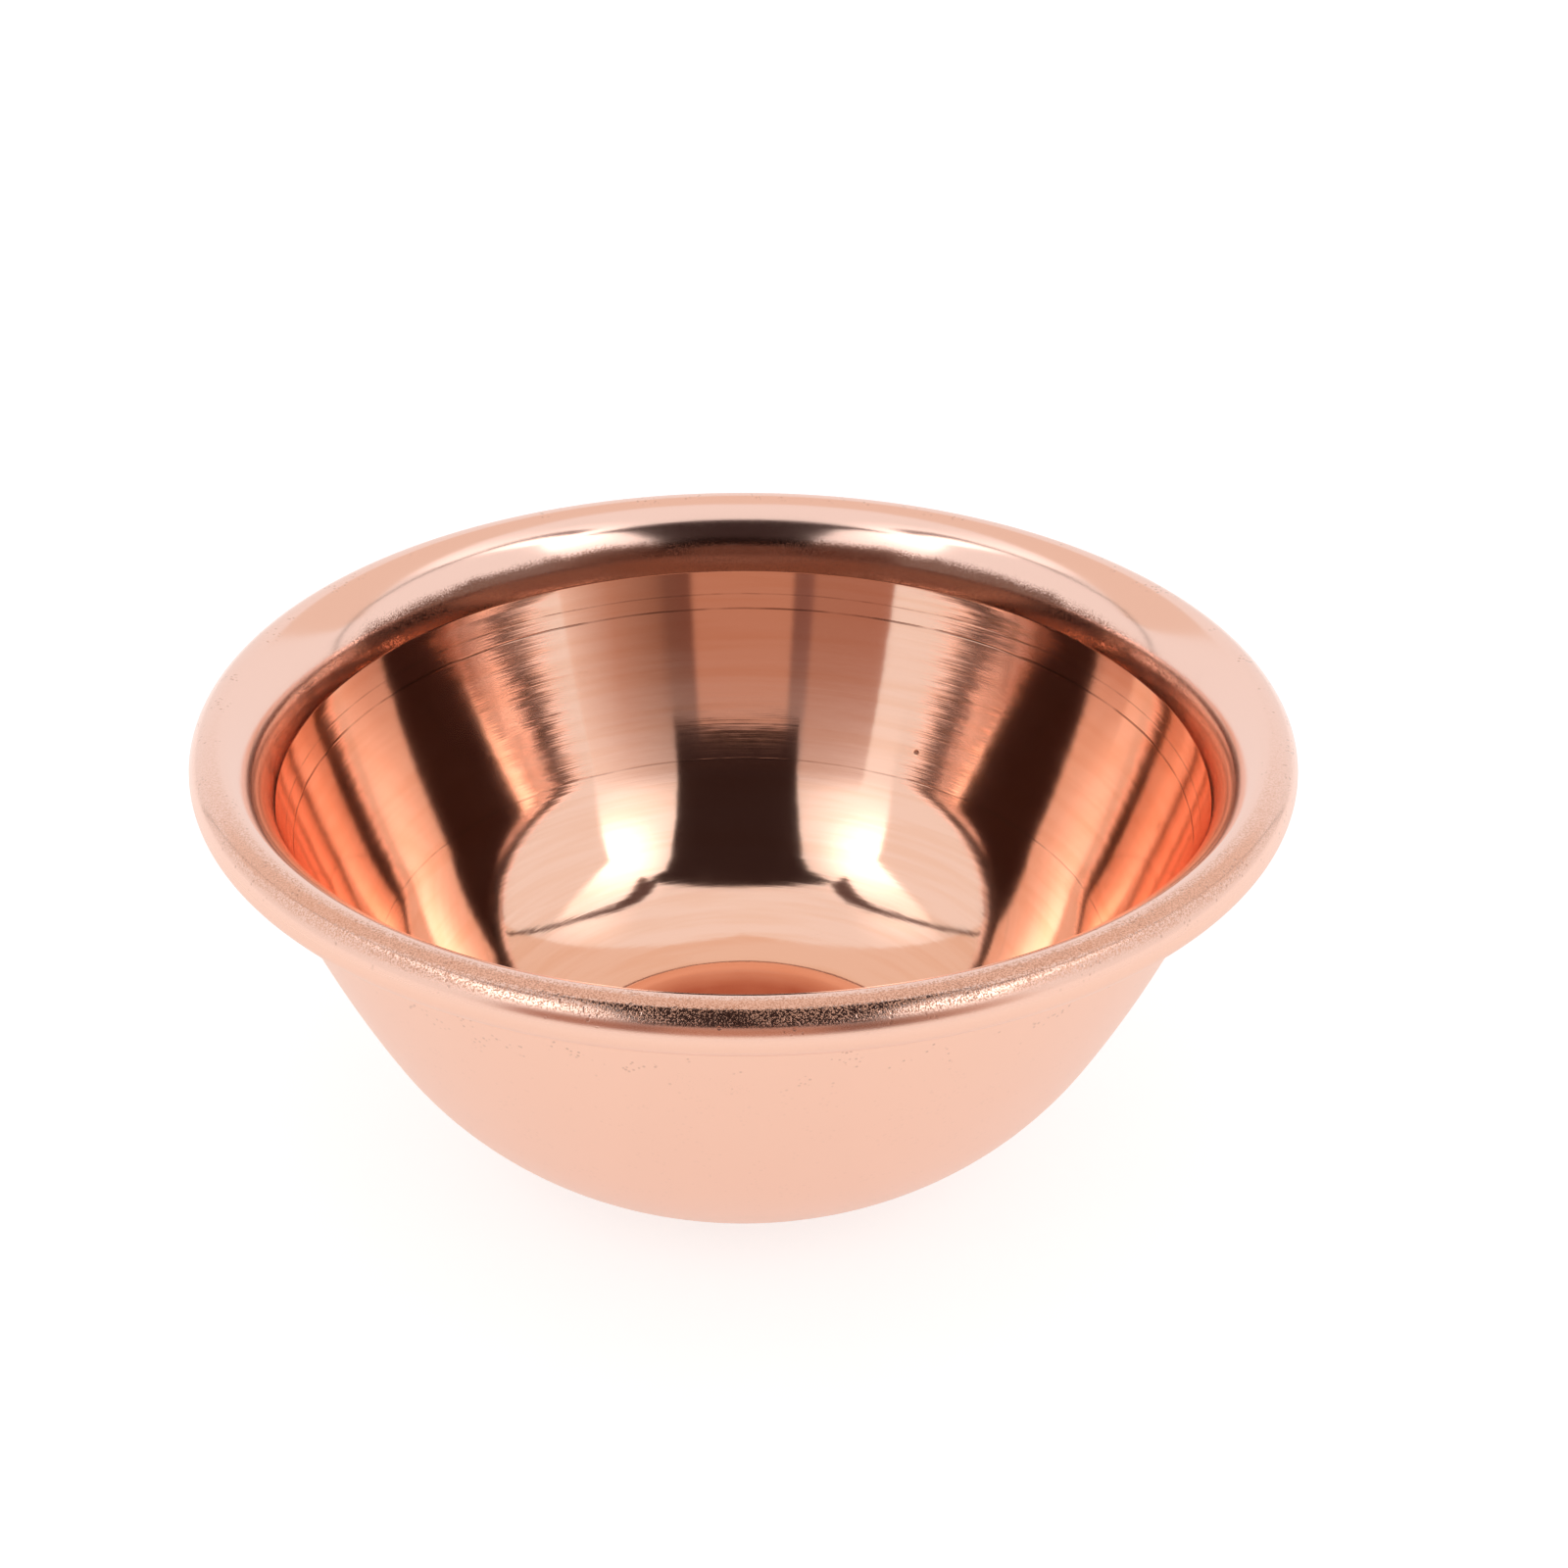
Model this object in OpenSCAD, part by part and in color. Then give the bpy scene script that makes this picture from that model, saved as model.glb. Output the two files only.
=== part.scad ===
// Offering bowl, spun from one disc of copper sheet.
// The sheet keeps one thickness from the middle of the foot to the cut edge of the rim.
// Its section is a chain of flats and rounds that run into each other without a corner:
// foot, foot bend, belly, nearly straight wall, crease, broad lip and rolled bead.
// The lip turns the sheet outwards, and the bead rolls it down and under, hollow,
// until its cut edge lies tucked against the back of the lip.
// The axis of the bowl is Z, and the foot rests on z = 0.

/* [Bowl] */
// Overall diameter, measured over the bead of the rim
rim_diameter = 57; // [54:0.5:62]
// Overall height, from the foot to the top of the rim
bowl_height = 25; // [22:0.5:28]
// Thickness of the copper sheet
sheet = 0.9; // [0.6:0.05:1.1]
// Lean of the upper wall away from upright, where it meets the crease, in degrees
wall_lean = 16.5; // [13:0.5:20]
// Outside radius of the slightly rounded upper wall, seen in section
wall_radius = 69; // [55:1:100]
// Outside radius of the rounded lower wall, seen in section
belly_radius = 19.4; // [16:0.2:22]
// Diameter of the flat on which the bowl stands
foot_diameter = 19.5; // [17:0.5:22]
// Outside radius of the bend between the foot and the lower wall
foot_bend = 5.5; // [3:0.1:7]

/* [Rim] */
// Diameter of the rolled bead
bead_diameter = 2.6; // [2.4:0.1:3.2]
// Width of the whole rim, from the crease inside to the outer edge of the bead
lip_width = 4; // [3.6:0.1:5]
// Depth of the crease, where the lip meets the wall, below the top of the rim
lip_depth = 3.95; // [3:0.05:4.5]
// Radius of the crease itself, on the hollow side
crease_radius = 0.4; // [0.2:0.1:1]
// Gap between the cut edge of the roll and the back of the lip
tuck_gap = 0.15; // [0.1:0.05:0.3]

/* [Hidden] */
$fn = 180;

// Most that a chord of the section may stray from its round
chord_error = 0.004;

copper = [0.93, 0.62, 0.50];

// Bead: a round against the top and the outer edge of the bowl
bead_radius = bead_diameter / 2;
bead_centre = [rim_diameter / 2 - bead_radius, bowl_height - bead_radius];

// Lip: upright at the crease, then a broader round that the bead carries on
crease_point = [rim_diameter / 2 - lip_width, bowl_height - lip_depth];
lip_to_bead = bead_centre - crease_point;
lip_radius = (lip_to_bead * lip_to_bead - pow(bead_radius, 2)) / (2 * (lip_to_bead[0] - bead_radius));
lip_centre = crease_point + [lip_radius, 0];
lip_end = 180 - atan2(lip_to_bead[1], lip_radius - lip_to_bead[0]);

// Roll: the bead runs on until its cut edge is a tuck gap away from the back of the lip
lip_offset = lip_radius - bead_radius;
tuck_reach = lip_radius - sheet - tuck_gap;
tuck_turn = acos((pow(lip_offset, 2) + pow(bead_radius, 2) - pow(tuck_reach, 2))
    / (2 * lip_offset * bead_radius));
roll_end = lip_end - 180 - tuck_turn;

// Crease: a tight bend from the leaning wall to the upright start of the lip
crease_centre = crease_point - [crease_radius, 0];
crease_outside = crease_radius + sheet;

// Wall: a shallow round that leaves the crease at the wall's lean
wall_out = [cos(wall_lean), -sin(wall_lean)];
wall_top = crease_centre + crease_outside * wall_out;
wall_centre = wall_top - wall_radius * wall_out;

// Belly: a round that meets both the wall and the foot bend without a corner. The centres
// of the three rounds make a triangle with known sides, which settles where each round ends
foot_centre = [foot_diameter / 2, foot_bend];
wall_to_foot = foot_centre - wall_centre;
wall_to_belly = wall_radius - belly_radius;
belly_to_foot = belly_radius - foot_bend;
belly_turn = acos((pow(wall_to_belly, 2) + wall_to_foot * wall_to_foot - pow(belly_to_foot, 2))
    / (2 * wall_to_belly * norm(wall_to_foot)));
wall_end = atan2(wall_to_foot[1], wall_to_foot[0]) + belly_turn;
belly_centre = wall_centre + wall_to_belly * [cos(wall_end), sin(wall_end)];
foot_end = atan2(foot_centre[1] - belly_centre[1], foot_centre[0] - belly_centre[0]);

// Points along a round, without the first, which the stretch before it has already reached
function round_to(centre, radius, from, to) =
    let (
        widest = 2 * acos(1 - chord_error / radius),
        steps = ceil(abs(to - from) / widest)
    )
    [
        for (i = [1:steps])
            let (angle = from + (to - from) * i / steps)
            centre + radius * [cos(angle), sin(angle)]
    ];

// The sheet's surface at a depth below its outer face, from the axis to the cut edge:
// a round with its centre on the hollow side loses the depth, and one outside gains it
function face(depth) = concat(
    [[0, depth], [foot_centre[0], depth]],
    round_to(foot_centre, foot_bend - depth, -90, foot_end),
    round_to(belly_centre, belly_radius - depth, foot_end, wall_end),
    round_to(wall_centre, wall_radius - depth, wall_end, -wall_lean),
    round_to(crease_centre, crease_outside - depth, -wall_lean, 0),
    round_to(lip_centre, lip_radius - sheet + depth, 180, lip_end),
    round_to(bead_centre, bead_radius - sheet + depth, lip_end, roll_end)
);

function reverse(points) = [for (i = [len(points) - 1:-1:0]) points[i]];

module bowl() {
    color(copper) rotate_extrude() polygon(concat(face(0), reverse(face(sheet))));
}

bowl();
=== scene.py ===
"""Copper offering bowl, spun from one disc of sheet, on a pale studio floor."""
from math import acos, atan2, cos, degrees, hypot, pi, radians, sin, tau

import bpy
from bpy.props import FloatProperty, FloatVectorProperty, IntProperty, PointerProperty
from bpy.types import Operator, Panel, PropertyGroup
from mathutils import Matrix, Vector
from mathutils.kdtree import KDTree


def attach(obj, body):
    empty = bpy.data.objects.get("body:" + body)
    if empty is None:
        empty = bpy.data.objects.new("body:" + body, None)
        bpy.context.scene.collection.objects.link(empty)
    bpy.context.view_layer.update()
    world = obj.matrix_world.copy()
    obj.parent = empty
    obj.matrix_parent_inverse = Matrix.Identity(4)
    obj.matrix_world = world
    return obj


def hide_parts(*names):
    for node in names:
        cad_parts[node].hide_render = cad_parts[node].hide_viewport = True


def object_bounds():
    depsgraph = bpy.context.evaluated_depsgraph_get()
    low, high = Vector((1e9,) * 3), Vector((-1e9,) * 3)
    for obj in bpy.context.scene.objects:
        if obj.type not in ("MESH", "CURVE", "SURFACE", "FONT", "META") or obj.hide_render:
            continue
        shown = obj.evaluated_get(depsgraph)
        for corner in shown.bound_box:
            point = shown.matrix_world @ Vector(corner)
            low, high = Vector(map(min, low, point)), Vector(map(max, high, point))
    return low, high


bl_info = {
    "name": "Copper Offering Bowl",
    "version": (1, 0, 0),
    "blender": (4, 5, 0),
    "location": "3D View > Sidebar > Bowl",
    "description": "Spins a small copper bowl with a rolled rim and lays out its studio",
    "category": "Add Mesh",
}

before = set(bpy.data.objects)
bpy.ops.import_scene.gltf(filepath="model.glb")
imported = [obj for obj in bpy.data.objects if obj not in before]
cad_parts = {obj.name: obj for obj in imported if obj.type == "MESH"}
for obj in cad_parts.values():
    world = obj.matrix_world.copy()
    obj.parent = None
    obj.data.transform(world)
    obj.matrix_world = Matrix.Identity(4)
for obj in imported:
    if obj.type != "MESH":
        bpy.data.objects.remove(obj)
CAD_BOX = [list(corner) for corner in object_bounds()]

MM = 0.001


def length(name, description, default):
    """A length that the sidebar shows in the scene's unit"""
    return FloatProperty(name=name, description=description, default=default, min=0, unit="LENGTH",
                         precision=5)


def angle(name, description, default):
    """An angle, given in degrees"""
    return FloatProperty(name=name, description=description, default=radians(default),
                         subtype="ANGLE")


def colour(name, description, default):
    """A colour in linear light"""
    return FloatVectorProperty(name=name, description=description, default=default,
                               subtype="COLOR", min=0, max=1)


def share(name, description, default, top=1):
    """A plain number from nothing up to a top"""
    return FloatProperty(name=name, description=description, default=default, min=0, max=top,
                         precision=3)


class BowlSizes(PropertyGroup):
    """Sizes of the spun sheet"""
    rim_diameter: length("Rim diameter", "Overall diameter, measured over the bead",
                         min(CAD_BOX[1][i] - CAD_BOX[0][i] for i in (0, 1)))
    bowl_height: length("Height", "Overall height", CAD_BOX[1][2] - CAD_BOX[0][2])
    sheet: length("Sheet", "Thickness of the copper sheet", 0.9 * MM)
    wall_lean: angle("Wall lean", "Lean of the upper wall away from upright, at the crease", 16.5)
    wall_radius: length("Wall radius", "Outside radius of the slightly rounded upper wall", 69 * MM)
    belly_radius: length("Belly radius", "Outside radius of the rounded lower wall", 19.4 * MM)
    foot_diameter: length("Foot diameter", "Diameter of the flat on which the bowl stands",
                          19.5 * MM)
    foot_bend: length("Foot bend", "Outside radius of the bend between foot and lower wall",
                      5.5 * MM)
    bead_diameter: length("Bead diameter", "Diameter of the rolled bead", 2.6 * MM)
    lip_width: length("Lip width", "From the crease to the outer edge of the bead", 4 * MM)
    lip_depth: length("Lip depth", "Depth of the crease below the top of the rim", 3.95 * MM)
    crease_radius: length("Crease radius", "Radius of the crease on the hollow side", 0.4 * MM)
    tuck_gap: length("Tuck gap", "Gap between the cut edge and the back of the lip", 0.15 * MM)
    spin_steps: IntProperty(name="Spin steps", description="Faces round the bowl", default=480,
                            min=24, max=720)


class CopperFinish(PropertyGroup):
    """Colours and wear of the copper"""
    copper: colour("Copper", "Clean copper", (0.955, 0.60, 0.462))
    pale: colour("Pale copper", "Paler copper on the lip", (0.955, 0.645, 0.545))
    warm: colour("Warm copper", "Copper with a first breath of tarnish", (0.90, 0.50, 0.34))
    sandy: colour("Sandy copper", "Browner copper where the grain is coarse", (0.74, 0.40, 0.28))
    # Painted shade: dark brown painted in and beside the crease, standing in for the dark
    # reflection there
    crease_painted_shade: colour("Crease painted shade", "Brown copper in and beside the crease",
                           (0.17, 0.07, 0.045))
    # Painted reflection: darker, redder copper painted on the floor of the hollow, standing in for
    # the walls it mirrors
    floor_painted_reflection: colour("Floor painted reflection", "Redder copper on the floor of the hollow",
                          (0.46, 0.14, 0.08))
    pit_colour: colour("Pit colour", "Oxide in the pits", (0.20, 0.085, 0.055))
    polish: share("Polish", "Roughness of the polished hollow", 0.07)
    lip_polish: share("Lip polish", "Roughness of the lip", 0.13)
    satin: share("Satin", "Roughness of the outside", 0.34)
    groove_height: length("Groove height", "Height of the spinning lines", 0.0012 * MM)
    groove_spacing: length("Groove spacing", "Distance between spinning lines", 0.25 * MM)
    peel_height: length("Peel height", "Height of the coarse grain beside the bends", 0.013 * MM)
    peel_grain: length("Peel grain", "Size of the coarse grain", 0.078 * MM)
    wave_height: length("Wave height", "Height of the long waves that spinning leaves", 0.004 * MM)


class Studio(PropertyGroup):
    """Camera, lights and cards"""
    floor: colour("Floor", "Pale floor", (0.46, 0.46, 0.46))
    floor_glow: share("Floor glow", "Added to the floor where the camera sees it", 0.65)
    floor_mirrored: share("Floor in reflections", "Added to the floor where a reflection sees it",
                          0.56)
    surround: share("Surround", "Strength of the pale surround", 0.95, top=2)
    lamp: share("Lamps", "Strength that the two soft lamps add to the surround", 2.2, top=5)
    camera_back: length("Camera back", "Distance of the camera in front of the axis", 104.18 * MM)
    camera_up: length("Camera up", "Height of the camera above the floor", 79.9 * MM)
    camera_tilt: angle("Camera tilt", "Downward tilt of the camera", 30.013)
    camera_lens: FloatProperty(name="Lens", description="Focal length in millimetres",
                               default=51.721)
    camera_shift: FloatProperty(name="Shift", description="Sideways shift of the frame",
                                default=0.0259)


# Steps along each stretch of the section, on the hollow side and on the outer face
SHOWN_STEPS = {"foot": 6, "bend": 16, "belly": 28, "wall": 22, "crease": 5, "lip": 16, "bead": 44}
HIDDEN_STEPS = {"foot": 4, "bend": 8, "belly": 16, "wall": 12, "crease": 4, "lip": 6, "bead": 18}
# Rings closer than this are one ring, which closes the poles and the seam of the spin
MERGE_DISTANCE = 0.0005 * MM
# Closer to the axis than this, a point has no direction round it
AXIS_RADIUS = 0.001 * MM

# What each point of the mesh says about its place on the sheet, from 0 to 1
# One of the marks says how much painted shade darkens the crease and the lip beside it
MARKS = ("hollow", "outside", "coarse", "pitted", "floor", "tarnished")
# The spun attribute's run along the outer face starts here, clear of the hollow side's
OUTSIDE_RUN = 0.1
# The marks fade between two values each. Degrees up the lip from the crease
LIP_GRAIN_FADE = (16, 28)
# The second fades the painted shade of the lip
LIP_SHADE_FADE = (16, 34)
# Degrees round the bead, where 90 is its top and 0 is its outer edge
BEAD_GRAIN_TOP = (108, 92)
BEAD_GRAIN_FOOT = (28, 42)
BEAD_SATIN = (60, -20)
BEAD_PITS_TOP = (125, 100)
BEAD_PITS_FOOT = (0, 30)
# How far towards the front, or the back, the grain of the bead and the painted shade of the lip
# reach
BEAD_GRAIN_FRONT = (0.0, 0.9)
LIP_SHADE_BACK = (0.3, 0.9)
# Height over which the outer wall gets more pits, and distance past the foot where the painted
# reflection on the floor of the hollow ends
WALL_PITS = (18.4 * MM, 18.9 * MM)
FLOOR_EDGE = (-0.6 * MM, 0.3 * MM)

# Height, half-width, and how much shows, of the lines that a tool left round the hollow
TOOL_LINES = (
    (18.72 * MM, 0.08 * MM, 0.9), (9.95 * MM, 0.07 * MM, 0.4), (19.6 * MM, 0.06 * MM, 0.4),
)
LINE_WANDER = 0.16 * MM
LINE_DEPTH = 0.0012 * MM
PIT_DEPTH = 0.02 * MM
# One small pit high on the hollow's wall
PIT_SPOT = (10.75 * MM, 17.98 * MM, 11.58 * MM)
# How often the textures repeat in a metre: round the bowl, and along the section
GROOVES_ROUND = 30
WAVES = (250, 250, 700)
STREAKS = (60, 60, 1500)
PATCH_SCALE = 260
SPECK_SCALE = 3400
SPECK_GROUP_SCALE = 900

FLOOR_SIZE = 4

# Two straight edges of the left lamp, as directions that point from them to its bright side
LAMP_EDGES = ((-0.696, -0.663, 0.276), (-0.690, 0.189, 0.698))
LAMP_EDGE_FADE = (-0.005, 0.025)
# Turn aside, rise, half-angle, and share of the strength, of a lamp's lobes
LAMP_LOBES = ((58, 46, 20, 0.62), (85, 47, 20, 0.25), (47, 38, 26, 0.32))
LAMP_FALLOFF = 2.5

# A dark flag in front of the bowl that arches over its near side: how far it reaches
# to the left and right, how far back it is, and how high, row by row
FLAG_ROWS = (
    (35, 44, -104, 59.5), (36, 44.5, -98, 79), (34, 42, -76, 96), (30.5, 38, -45, 104),
    (31, 37, -32, 101.5), (39, 42, -20, 96.3),
)
FLAG_TINT = (0.030, 0.0165, 0.015)

# A low upright card in front of the bowl, below the flag, whose bands fade into clear air
LOW_CARD_BACK = -182 * MM
LOW_CARD_TOP = 150 * MM
LOW_CARD_FADE = 62 * MM
# Its colours from left to right, each at a place along it
LOW_CARD_BANDS = (
    (-158, (0.42, 0.21, 0.155)), (-66, (0.42, 0.22, 0.16)), (-62, (0.24, 0.12, 0.10)),
    (-47, (0.22, 0.11, 0.09)), (-43, (0.52, 0.28, 0.20)), (44, (0.52, 0.28, 0.20)),
    (48, (0.18, 0.08, 0.06)), (70, (0.20, 0.10, 0.075)), (84, (0.30, 0.16, 0.115)),
    (135, (0.50, 0.30, 0.23)), (215, (0.90, 0.78, 0.72)),
)

# A pale warm card over the far half of the bowl, from an edge over its middle that bends
# back at the sides: how far aside and how far back that edge is, in millimetres
BACK_CARD_EDGE = ((-600, 213), (0, 1), (600, 213))
BACK_CARD_DEPTH = 320 * MM
BACK_CARD_RISE = 286 * MM
BACK_CARD_TINT = (0.87, 0.74, 0.65)

# Turn aside, rise and half-width in degrees of a boom that runs from the flag's top round one side
BOOM_PATH = (
    (56, 60.5, 2.4), (64, 61.8, 2.4), (72, 62, 1.9), (82, 60, 1.2), (95, 53, 0.8), (106, 44, 0.55),
    (114, 34, 0.5), (119, 20, 0.5), (121, 5, 0.5),
)
BOOM_REACH = 250 * MM
BOOM_TINT = (0.09, 0.05, 0.045)


def smooth(low, high, value):
    """0 below low, 1 above high and a soft step between"""
    t = min(max((value - low) / (high - low), 0.0), 1.0)
    return t * t * (3 - 2 * t)


def toward(aside, rise, side=1):
    """The direction that is turned aside from the front, to one side, and rises, in degrees"""
    aside, rise = radians(aside), radians(rise)
    return Vector((side * sin(aside) * cos(rise), -cos(aside) * cos(rise), sin(rise)))


def line_points(start, end, steps):
    """Points along a straight stretch after its first"""
    return [
        (start[0] + (end[0] - start[0]) * i / steps, start[1] + (end[1] - start[1]) * i / steps)
        for i in range(1, steps + 1)
    ]


def arc_points(centre, radius, start, end, steps):
    """Points along a round after its first, which the stretch before it has reached"""
    return [
        (centre[0] + radius * cos(start + (end - start) * i / steps),
         centre[1] + radius * sin(start + (end - start) * i / steps))
        for i in range(1, steps + 1)
    ]


class Section:
    """The rounds and flats of the sheet, from the same sizes as the solid"""

    def __init__(self, s):
        self.sheet = s.sheet
        self.foot_bend, self.belly_radius, self.lean = s.foot_bend, s.belly_radius, s.wall_lean
        self.bead_radius = s.bead_diameter / 2
        self.bead = (s.rim_diameter / 2 - self.bead_radius, s.bowl_height - self.bead_radius)
        crease = (s.rim_diameter / 2 - s.lip_width, s.bowl_height - s.lip_depth)
        across, up = self.bead[0] - crease[0], self.bead[1] - crease[1]
        self.lip_radius = ((across ** 2 + up ** 2 - self.bead_radius ** 2)
                           / (2 * (across - self.bead_radius)))
        self.lip = (crease[0] + self.lip_radius, crease[1])
        self.lip_end = pi - atan2(up, self.lip_radius - across)
        offset = self.lip_radius - self.bead_radius
        reach = self.lip_radius - s.sheet - s.tuck_gap
        tuck = acos((offset ** 2 + self.bead_radius ** 2 - reach ** 2)
                    / (2 * offset * self.bead_radius))
        self.roll_end = self.lip_end - pi - tuck
        self.crease = (crease[0] - s.crease_radius, crease[1])
        self.crease_outside = s.crease_radius + s.sheet
        out = (cos(s.wall_lean), -sin(s.wall_lean))
        self.wall_radius = s.wall_radius
        self.wall = tuple(c + (self.crease_outside - s.wall_radius) * o
                          for c, o in zip(self.crease, out))
        self.foot = (s.foot_diameter / 2, s.foot_bend)
        foot_x, foot_z = (f - w for f, w in zip(self.foot, self.wall))
        to_belly, belly_to_foot = s.wall_radius - s.belly_radius, s.belly_radius - s.foot_bend
        turn = acos((to_belly ** 2 + foot_x ** 2 + foot_z ** 2 - belly_to_foot ** 2)
                    / (2 * to_belly * hypot(foot_x, foot_z)))
        self.wall_end = atan2(foot_z, foot_x) + turn
        self.belly = (self.wall[0] + to_belly * cos(self.wall_end),
                      self.wall[1] + to_belly * sin(self.wall_end))
        self.foot_end = atan2(self.foot[1] - self.belly[1], self.foot[0] - self.belly[0])

    def face(self, depth, steps):
        """The sheet's surface at a depth below its outer face, as (stretch, point) pairs"""
        points = [("foot", (0.0, depth))]
        foot_edge = (self.foot[0], depth)
        points += [("foot", point) for point in line_points((0.0, depth), foot_edge, steps["foot"])]
        rounds = (
            ("bend", self.foot, self.foot_bend - depth, -pi / 2, self.foot_end),
            ("belly", self.belly, self.belly_radius - depth, self.foot_end, self.wall_end),
            ("wall", self.wall, self.wall_radius - depth, self.wall_end, -self.lean),
            ("crease", self.crease, self.crease_outside - depth, -self.lean, 0),
            ("lip", self.lip, self.lip_radius - self.sheet + depth, pi, self.lip_end),
            ("bead", self.bead, self.bead_radius - self.sheet + depth, self.lip_end, self.roll_end),
        )
        for stretch, centre, radius, start, end in rounds:
            new = arc_points(centre, radius, start, end, steps[stretch])
            points += [(stretch, point) for point in new]
        return points


def deselect_all():
    """Nothing selected, so that an operator acts on the new piece alone"""
    if bpy.context.mode != "OBJECT":
        bpy.ops.object.mode_set(mode="OBJECT")
    bpy.ops.object.select_all(action="DESELECT")


def set_attribute(mesh, name, kind, values):
    """A point attribute of the mesh, filled from a flat list"""
    data = mesh.attributes.new(name, kind, "POINT").data
    data.foreach_set("vector" if kind == "FLOAT_VECTOR" else "value", values)


def rgba(value):
    """A colour with full alpha"""
    return (*value[:3], 1.0)


class Graph:
    """Short words for the nodes of one material or of the world"""

    def __init__(self, tree):
        self.tree = tree
        tree.nodes.clear()

    def node(self, kind, sockets=None, **settings):
        """A node with its settings, and with sockets set to values or joined to outputs"""
        new = self.tree.nodes.new("ShaderNode" + kind)
        for name, value in settings.items():
            setattr(new, name, value)
        for name, value in (sockets or {}).items():
            self.feed(new.inputs[name], value)
        return new

    def feed(self, socket, value):
        """Joins a socket to an output, or sets it to a value"""
        if isinstance(value, bpy.types.NodeSocket):
            self.tree.links.new(value, socket)
        else:
            socket.default_value = value

    def surface(self, kind, shader):
        """The output node, joined to the last shader"""
        self.node("Output" + kind, {"Surface": shader.outputs[0]})

    def math(self, operation, *values):
        return self.node("Math", dict(enumerate(values)), operation=operation).outputs[0]

    def attribute(self, name, output="Fac"):
        return self.node("Attribute", attribute_name=name,
                         attribute_type="GEOMETRY").outputs[output]

    def step(self, value, low, high, start=0.0, end=1.0):
        """A soft step from start to end while value goes from low to high"""
        return self.node("MapRange", {"Value": value, "From Min": low, "From Max": high,
                                      "To Min": start, "To Max": end},
                         interpolation_type="SMOOTHSTEP").outputs[0]

    def scaled(self, vector, scale):
        return self.node("Mapping", {"Vector": vector, "Scale": scale},
                         vector_type="POINT").outputs[0]

    def noise(self, vector, scale=1.0, detail=2.0, roughness=0.5):
        return self.node("TexNoise", {"Vector": vector, "Scale": scale, "Detail": detail,
                                      "Roughness": roughness}).outputs[0]

    def along(self, direction, other):
        """How far a direction goes along another"""
        return self.node("VectorMath", {0: direction, 1: other},
                         operation="DOT_PRODUCT").outputs["Value"]

    def blend(self, factor, first, second):
        """Two colours mixed by a factor"""
        new = self.node("Mix", {0: factor, 6: first, 7: second}, data_type="RGBA")
        return new.outputs[2]


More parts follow.
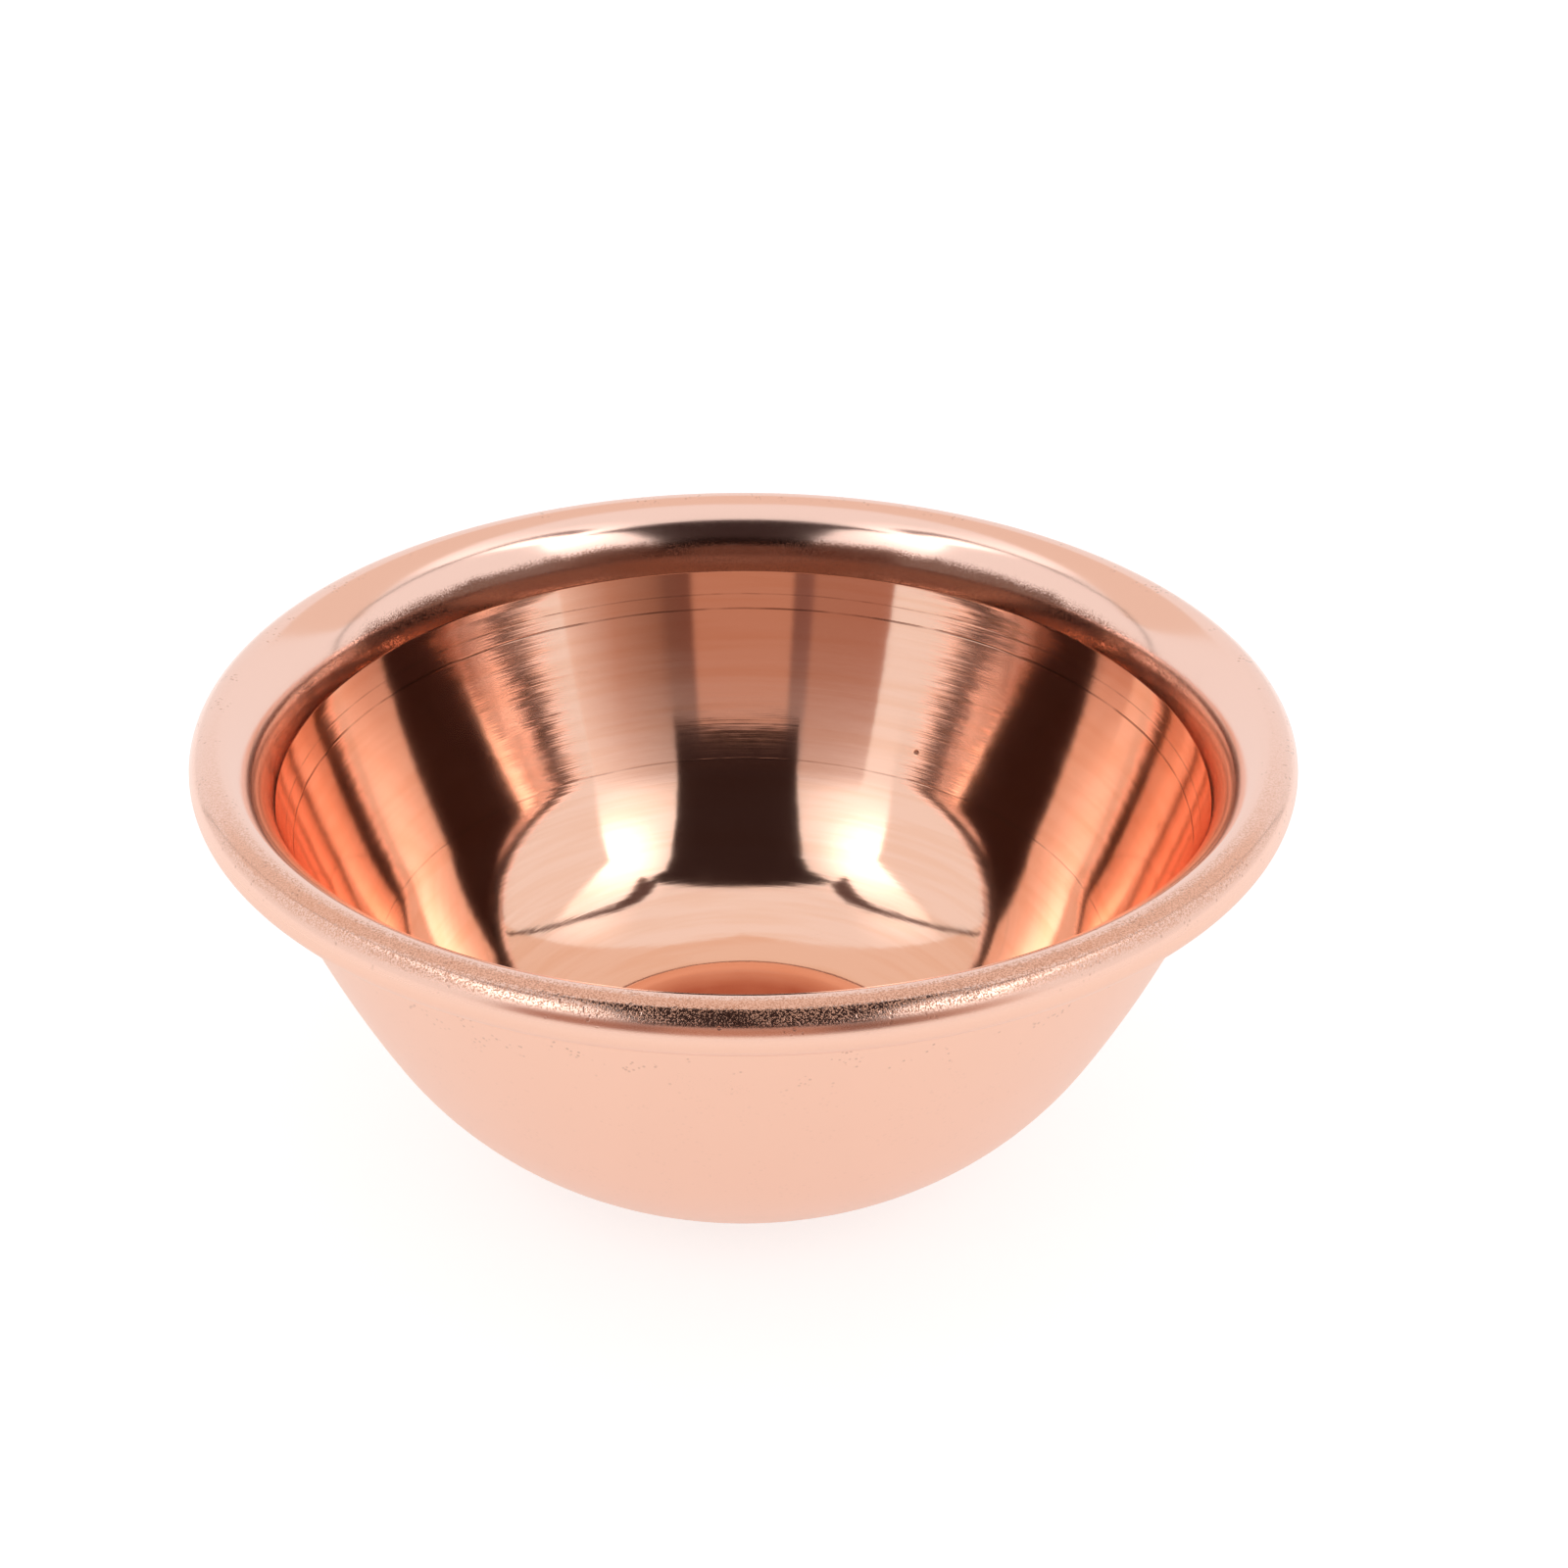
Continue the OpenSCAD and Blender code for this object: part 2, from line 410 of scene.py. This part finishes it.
class CopperSkin:
    """The nodes of the copper: mirror-bright in the hollow, satin outside, coarse at the bends"""

    def __init__(self, g, finish):
        self.g, self.finish = g, finish
        self.place = g.node("TexCoord").outputs["Object"]
        self.spun = g.attribute("spun", "Vector")
        self.mark = {name: g.attribute(name) for name in MARKS}
        self.peel = g.noise(self.place, scale=1 / finish.peel_grain, detail=2.0, roughness=0.6)
        self.patches = g.noise(self.place, scale=PATCH_SCALE, detail=3.0)
        self.peel_spread = g.math("MULTIPLY", self.mark["coarse"],
                                  g.step(self.patches, 0.30, 0.62, 0.35, 1.0))
        self.lines = self.tool_lines()
        self.pits = self.deep_pits()

    def tool_lines(self):
        """Fine dark lines round the hollow, broken and uneven as a tool leaves them"""
        g = self.g
        height = g.node("SeparateXYZ", {"Vector": self.place}).outputs["Z"]
        wander = g.noise(g.scaled(self.spun, (150, 150, 0)), detail=3.0)
        height = g.math("MULTIPLY_ADD", wander, LINE_WANDER, height)
        lines = 0.0
        for number, (rise, half_width, shown) in enumerate(TOOL_LINES):
            off = g.math("ABSOLUTE", g.math("SUBTRACT", height, rise + LINE_WANDER / 2))
            broken = g.noise(g.scaled(self.spun, (220, 220, 0)), scale=1 + number, detail=2.0)
            line = g.math("MULTIPLY", g.step(off, half_width, half_width * 0.3),
                          g.step(broken, 0.35, 0.6, 0.15, shown))
            lines = g.math("MAXIMUM", lines, line)
        return g.math("MULTIPLY", lines, self.mark["hollow"])

    def deep_pits(self):
        """Small pits in loose groups where the sheet is pitted, and the one in the hollow"""
        g = self.g
        specks = g.node("TexVoronoi", {"Vector": self.place, "Scale": SPECK_SCALE})
        groups = g.noise(self.place, scale=SPECK_GROUP_SCALE, detail=0.0)
        in_pit = g.math("MULTIPLY", g.step(specks.outputs["Distance"], 0.34, 0.16),
                        g.step(groups, 0.56, 0.62))
        spot = g.node("VectorMath", {0: self.place, 1: PIT_SPOT},
                      operation="DISTANCE").outputs["Value"]
        ragged = g.math("MULTIPLY_ADD", self.peel, 0.1 * MM, spot)
        return g.math("MAXIMUM", g.math("MULTIPLY", in_pit, self.mark["pitted"]),
                      g.step(ragged, 0.24 * MM, 0.16 * MM))

    def bump(self):
        """Spinning lines, long waves, coarse grain, pits and tool lines"""
        g, finish = self.g, self.finish
        round_it, along_it = GROOVES_ROUND, 1 / finish.groove_spacing
        grooves = g.noise(g.scaled(self.spun, (round_it, round_it, along_it)),
                          detail=3.0, roughness=0.55)
        fine_lines = g.noise(g.scaled(self.spun, (round_it * 3, round_it * 3, along_it * 4)),
                             detail=1.0)
        waves = g.noise(g.scaled(self.spun, WAVES), detail=2.0)
        facets = g.math("MULTIPLY_ADD", self.peel, 0.3, g.step(self.peel, 0.52, 0.68, 0.0, 0.7))
        height = g.math("MULTIPLY", grooves, finish.groove_height)
        for texture, rise in (
            (fine_lines, finish.groove_height * 0.25),
            (waves, finish.wave_height),
            (facets, g.math("MULTIPLY", self.peel_spread, finish.peel_height)),
            (self.pits, -PIT_DEPTH),
            (self.lines, -LINE_DEPTH),
        ):
            height = g.math("MULTIPLY_ADD", texture, rise, height)
        return g.node("Bump", {"Height": height, "Strength": 1.0, "Distance": 1.0}).outputs[0]

    def tone(self):
        """Copper that goes warmer and sandier with its place and wear, redder on the floor of the
        hollow as a painted reflection, and browner in and beside the crease as painted shade
        """
        g, finish, mark = self.g, self.finish, self.mark
        streak = g.noise(g.scaled(self.spun, STREAKS), detail=3.0)
        # Painted shade in and beside the crease, with a ragged edge from the grain and the patches
        edge = g.math("MULTIPLY_ADD", g.math("SUBTRACT", self.peel, 0.5), 0.9, mark["tarnished"])
        edge = g.math("MULTIPLY_ADD", g.math("SUBTRACT", self.patches, 0.5), 0.9, edge)
        tone = rgba(finish.pale)
        for factor, colour_there in (
            (g.math("MAXIMUM", mark["hollow"], mark["outside"]), finish.copper),
            (g.math("MULTIPLY", g.step(streak, 0.40, 0.70, 0.0, 0.5), mark["hollow"]), finish.warm),
            # Painted reflection on the floor of the hollow, varied in patches
            (g.math("MULTIPLY", mark["floor"], g.step(self.patches, 0.30, 0.70, 0.78, 1.0)),
             finish.floor_painted_reflection),
            (g.math("MULTIPLY", mark["coarse"], g.step(self.peel, 0.40, 0.60, 0.1, 1.0)),
             finish.sandy),
            (g.step(edge, 0.25, 0.75, 0.0, 0.9), finish.crease_painted_shade),
            (g.math("MULTIPLY", g.math("MAXIMUM", self.pits, self.lines), 0.85),
             finish.pit_colour),
        ):
            tone = g.blend(factor, tone, rgba(colour_there))
        return tone

    def roughness(self):
        """Polished in the hollow, less so on the lip and satin outside, a little uneven"""
        g, finish, mark = self.g, self.finish, self.mark
        rough = finish.lip_polish
        for share_here, change in (
            (mark["hollow"], finish.polish - finish.lip_polish),
            (mark["outside"], finish.satin - finish.lip_polish),
            (self.peel_spread, -0.02),
            (g.math("SUBTRACT", self.patches, 0.5), 0.05),
        ):
            rough = g.math("MULTIPLY_ADD", share_here, change, rough)
        return g.math("MAXIMUM", rough, 0.03)


def copper_material(finish):
    """The copper's one material"""
    material = bpy.data.materials.new("bowl_copper")
    material.use_nodes = True
    g = Graph(material.node_tree)
    skin = CopperSkin(g, finish)
    g.surface("Material", g.node("BsdfPrincipled", {
        "Base Color": skin.tone(), "Metallic": 1.0, "Roughness": skin.roughness(),
        "Normal": skin.bump(),
    }))
    return material


class BOWL_OT_spin_sheet(Operator):
    """Spins the copper sheet into the bowl, with its rolled rim, and finishes the metal"""
    bl_idname = "offering_bowl.spin_sheet"
    bl_label = "Spin the Bowl"
    bl_options = {"REGISTER", "UNDO"}

    def execute(self, context):
        sizes = context.scene.bowl_sizes
        section = Section(sizes)
        hidden = section.face(0.0, HIDDEN_STEPS)
        shown = section.face(sizes.sheet, SHOWN_STEPS)
        path = [point for _, point in hidden] + [point for _, point in reversed(shown)]

        deselect_all()
        bpy.ops.mesh.primitive_plane_add(size=sizes.foot_diameter)
        bowl = context.object
        bowl.name = bowl.data.name = "bowl_sheet"
        bpy.ops.object.mode_set(mode="EDIT")
        bpy.ops.mesh.merge(type="CENTER")
        for (x0, z0), (x1, z1) in zip(path, path[1:]):
            bpy.ops.mesh.extrude_region_move(
                TRANSFORM_OT_translate={"value": (x1 - x0, 0, z1 - z0)})
        bpy.ops.mesh.select_all(action="SELECT")
        bpy.ops.mesh.spin(steps=sizes.spin_steps, angle=tau, center=(0, 0, 0), axis=(0, 0, 1))
        bpy.ops.mesh.select_all(action="SELECT")
        bpy.ops.mesh.remove_doubles(threshold=MERGE_DISTANCE)
        bpy.ops.mesh.normals_make_consistent(inside=False)
        bpy.ops.object.mode_set(mode="OBJECT")
        bpy.ops.object.shade_smooth()

        self.mark_stretches(bowl.data, section, hidden, shown)
        bowl.data.materials.append(copper_material(context.scene.copper_finish))
        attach(bowl, "root")
        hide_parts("bowl")
        return {"FINISHED"}

    def mark_stretches(self, mesh, section, hidden, shown):
        """Attributes that say where on the sheet each point lies, for the finish to follow"""
        rings = [self.ring(section, shown, i, True) for i in range(len(shown))]
        rings += [self.ring(section, hidden, i, False) for i in range(len(hidden))]
        tree = KDTree(len(rings))
        for number, ring in enumerate(rings):
            tree.insert((*ring["point"], 0), number)
        tree.balance()
        wrap = section.bead[0]
        spun, marks = [], {name: [] for name in MARKS}
        for vertex in mesh.vertices:
            x, y, z = vertex.co
            radius = hypot(x, y)
            ring = rings[tree.find((radius, z, 0))[1]]
            turn = (x / radius, y / radius) if radius > AXIS_RADIUS else (0.0, 0.0)
            spun += [turn[0] * wrap, turn[1] * wrap, ring["run"]]
            for name, values in marks.items():
                values.append(ring[name])
            if ring["bead"]:
                marks["coarse"][-1] *= 0.1 + 0.9 * smooth(*BEAD_GRAIN_FRONT, -turn[1])
            else:
                # Painted shade on the lip, strongest towards the back of the bowl
                marks["tarnished"][-1] *= 0.4 + 0.6 * smooth(*LIP_SHADE_BACK, turn[1])
        set_attribute(mesh, "spun", "FLOAT_VECTOR", spun)
        for name, values in marks.items():
            set_attribute(mesh, name, "FLOAT", values)

    def ring(self, section, face, number, on_hollow_side):
        """What the finish needs to know about one ring of points"""
        run = sum(
            hypot(b[0] - a[0], b[1] - a[1])
            for (_, a), (_, b) in zip(face[:number], face[1:number + 1])
        )
        stretch, point = face[number]
        ring = dict.fromkeys(MARKS, 0.0)
        ring.update(point=point, run=run, bead=False)
        if not on_hollow_side:
            ring["run"] += OUTSIDE_RUN
            ring["outside"] = 1.0
            if stretch in ("wall", "belly"):
                ring["pitted"] = 0.06 + 0.3 * smooth(*WALL_PITS, point[1])
        elif stretch in ("foot", "bend", "belly", "wall"):
            ring["hollow"] = 1.0
            # The floor mark carries the painted reflection on the floor of the hollow
            ring["floor"] = 1.0 - smooth(*FLOOR_EDGE, point[0] - section.foot[0])
        elif stretch == "crease":
            # The crease gets the full painted shade
            ring.update(hollow=0.6, coarse=0.6, tarnished=1.0)
        elif stretch == "lip":
            from_crease = 180 - degrees(atan2(point[1] - section.lip[1], point[0] - section.lip[0]))
            ring["coarse"] = 0.7 - 0.7 * smooth(*LIP_GRAIN_FADE, from_crease)
            # Painted shade that fades out up the lip from the crease
            ring["tarnished"] = 1.0 - smooth(*LIP_SHADE_FADE, from_crease)
        else:
            turn = degrees(atan2(point[1] - section.bead[1], point[0] - section.bead[0]))
            if turn > 150:
                turn -= 360
            ring["bead"] = True
            ring["outside"] = smooth(*BEAD_SATIN, turn)
            grain = smooth(*BEAD_GRAIN_TOP, turn) * smooth(*BEAD_GRAIN_FOOT, turn)
            ring["coarse"] = 0.05 + 0.95 * grain
            ring["pitted"] = 0.3 * smooth(*BEAD_PITS_TOP, turn) * smooth(*BEAD_PITS_FOOT, turn)
        return ring


def flag_rows():
    """The dark flag, row by row from its foot to its far edge"""
    return [[(-left * MM, y * MM, z * MM), (right * MM, y * MM, z * MM)]
            for left, right, y, z in FLAG_ROWS]


def low_card_rows():
    """The foot and the top of the low card"""
    left, right = LOW_CARD_BANDS[0][0] * MM, LOW_CARD_BANDS[-1][0] * MM
    return [[(left, LOW_CARD_BACK, rise), (right, LOW_CARD_BACK, rise)]
            for rise in (0, LOW_CARD_TOP)]


def back_card_rows():
    """The back card, from left to right"""
    return [[(x * MM, y * MM, BACK_CARD_RISE), (x * MM, BACK_CARD_DEPTH, BACK_CARD_RISE)]
            for x, y in BACK_CARD_EDGE]


def boom_rows(side):
    """A thin dark boom, as wide across its path as the table says"""
    path = [toward(aside, rise, side) for aside, rise, _ in BOOM_PATH]
    rows = []
    for i, (point, (_, _, half)) in enumerate(zip(path, BOOM_PATH)):
        forward = path[min(i + 1, len(path) - 1)] - path[max(i - 1, 0)]
        across = point.cross(forward).normalized() * radians(half)
        rows.append([(point - across) * BOOM_REACH, (point + across) * BOOM_REACH])
    return rows


def banded(g):
    """The low card's colour, banded from left to right, and how clear it is towards its top"""
    place = g.node("SeparateXYZ", {"Vector": g.node("TexCoord").outputs["Object"]}).outputs
    low, high = LOW_CARD_BANDS[0][0] * MM, LOW_CARD_BANDS[-1][0] * MM
    across = g.node("MapRange", {"Value": place["X"], "From Min": low, "From Max": high}).outputs[0]
    ramp = g.node("ValToRGB", {"Fac": across})
    elements = ramp.color_ramp.elements
    while len(elements) < len(LOW_CARD_BANDS):
        elements.new(1.0)
    for element, (x, tint) in zip(elements, LOW_CARD_BANDS):
        element.position = (x * MM - low) / (high - low)
        element.color = rgba(tint)
    return ramp.outputs["Color"], g.step(place["Z"], LOW_CARD_FADE, LOW_CARD_TOP)


class BOWL_OT_lay_out_studio(Operator):
    """Lays the pale floor, the dark flag, the warm cards, the soft surround and the camera"""
    bl_idname = "offering_bowl.lay_out_studio"
    bl_label = "Lay Out the Studio"
    bl_options = {"REGISTER", "UNDO"}

    def execute(self, context):
        scene, studio = context.scene, context.scene.bowl_studio
        self.add_floor(studio)
        self.add_card("dark_flag", flag_rows(), FLAG_TINT)
        self.add_card("low_card", low_card_rows(), None)
        self.add_card("back_card", back_card_rows(), BACK_CARD_TINT)
        for side in (-1, 1):
            self.add_card("boom", boom_rows(side), BOOM_TINT)
        self.light_surround(scene, studio)
        self.add_camera(scene, studio)
        scene.view_settings.view_transform = "Standard"
        # Enough for the crease, where the metal mirrors itself many times
        scene.cycles.glossy_bounces = 10
        return {"FINISHED"}

    def add_floor(self, studio):
        """A pale floor, lifted to white for the camera and, less so, for reflections"""
        deselect_all()
        bpy.ops.mesh.primitive_plane_add(size=FLOOR_SIZE)
        floor = bpy.context.object
        floor.name = "floor"
        material = bpy.data.materials.new("floor_white")
        material.use_nodes = True
        g = Graph(material.node_tree)
        path = g.node("LightPath").outputs
        glow = g.math("MULTIPLY", path["Is Camera Ray"], studio.floor_glow)
        glow = g.math("MULTIPLY_ADD", path["Is Glossy Ray"], studio.floor_mirrored, glow)
        g.surface("Material", g.node("BsdfPrincipled", {
            "Base Color": rgba(studio.floor), "Roughness": 0.9, "Specular IOR Level": 0.1,
            "Emission Color": (1, 1, 1, 1), "Emission Strength": glow,
        }))
        floor.data.materials.append(material)

    def add_card(self, name, rows, tint):
        """A card that only reflections see, from rows of two points, banded if it has no tint"""
        deselect_all()
        bpy.ops.mesh.primitive_grid_add(x_subdivisions=1, y_subdivisions=len(rows) - 1, size=1)
        card = bpy.context.object
        card.name = name
        for vertex, corner in zip(card.data.vertices, [point for row in rows for point in row]):
            vertex.co = corner
        material = bpy.data.materials.new(name)
        material.use_nodes = True
        g = Graph(material.node_tree)
        tint, clear = banded(g) if tint is None else (rgba(tint), 0.0)
        glow = g.node("Emission", {"Color": tint, "Strength": 1.0}).outputs[0]
        air = g.node("BsdfTransparent").outputs[0]
        g.surface("Material", g.node("MixShader", {0: clear, 1: glow, 2: air}))
        card.data.materials.append(material)
        card.visible_camera = False
        card.visible_shadow = False
        card.visible_diffuse = False

    def light_surround(self, scene, studio):
        """A pale surround with a soft lamp on each side, and plain white for the camera"""
        world = bpy.data.worlds.new("studio")
        scene.world = world
        world.use_nodes = True
        g = Graph(world.node_tree)
        direction = g.node("TexCoord").outputs["Generated"]
        level = studio.surround
        for side in (-1, 1):
            lit = 0.0
            for x, y, z in LAMP_EDGES:
                past_edge = g.along(direction, (side * x, y, z))
                lit = g.math("MAXIMUM", lit, g.step(past_edge, *LAMP_EDGE_FADE))
            for aside, rise, half_angle, strength in LAMP_LOBES:
                lobe = g.node("MapRange", {"Value": g.along(direction, toward(aside, rise, side)),
                                           "From Min": cos(radians(half_angle))}).outputs[0]
                lobe = g.math("POWER", lobe, LAMP_FALLOFF)
                lobe = g.math("MULTIPLY", lobe, strength * studio.lamp)
                level = g.math("MULTIPLY_ADD", lobe, lit, level)
        camera_ray = g.node("LightPath").outputs["Is Camera Ray"]
        strength = g.node("Mix", {"Factor": camera_ray, 2: level, 3: 1.0}, data_type="FLOAT")
        g.surface("World", g.node("Background", {"Color": (1, 1, 1, 1),
                                                 "Strength": strength.outputs[0]}))

    def add_camera(self, scene, studio):
        """The camera in front of the bowl, tilted down to it"""
        deselect_all()
        bpy.ops.object.camera_add(
            location=(0, -studio.camera_back, studio.camera_up),
            rotation=(pi / 2 - studio.camera_tilt, 0, 0),
        )
        camera = bpy.context.object
        camera.data.sensor_width = 36
        camera.data.lens = studio.camera_lens
        camera.data.shift_x = studio.camera_shift
        camera.data.clip_start = 1 * MM
        camera.data.clip_end = 20
        scene.camera = camera


class VIEW3D_PT_offering_bowl(Panel):
    """The bowl's sizes, finish and studio, and the operators that make them"""
    bl_label = "Offering Bowl"
    bl_idname = "VIEW3D_PT_offering_bowl"
    bl_space_type = "VIEW_3D"
    bl_region_type = "UI"
    bl_category = "Bowl"

    def draw(self, context):
        for title, group, operator in (
            ("Sheet", context.scene.bowl_sizes, BOWL_OT_spin_sheet),
            ("Copper", context.scene.copper_finish, None),
            ("Studio", context.scene.bowl_studio, BOWL_OT_lay_out_studio),
        ):
            box = self.layout.box()
            box.label(text=title)
            for name in type(group).__annotations__:
                box.prop(group, name)
            if operator:
                box.operator(operator.bl_idname)


CLASSES = (
    BowlSizes, CopperFinish, Studio, BOWL_OT_spin_sheet, BOWL_OT_lay_out_studio,
    VIEW3D_PT_offering_bowl,
)


def register():
    for cls in CLASSES:
        bpy.utils.register_class(cls)
    bpy.types.Scene.bowl_sizes = PointerProperty(type=BowlSizes)
    bpy.types.Scene.copper_finish = PointerProperty(type=CopperFinish)
    bpy.types.Scene.bowl_studio = PointerProperty(type=Studio)


def unregister():
    del bpy.types.Scene.bowl_studio
    del bpy.types.Scene.copper_finish
    del bpy.types.Scene.bowl_sizes
    for cls in reversed(CLASSES):
        bpy.utils.unregister_class(cls)


def main():
    register()
    bpy.ops.offering_bowl.spin_sheet()
    bpy.ops.offering_bowl.lay_out_studio()


if __name__ == "__main__":
    main()
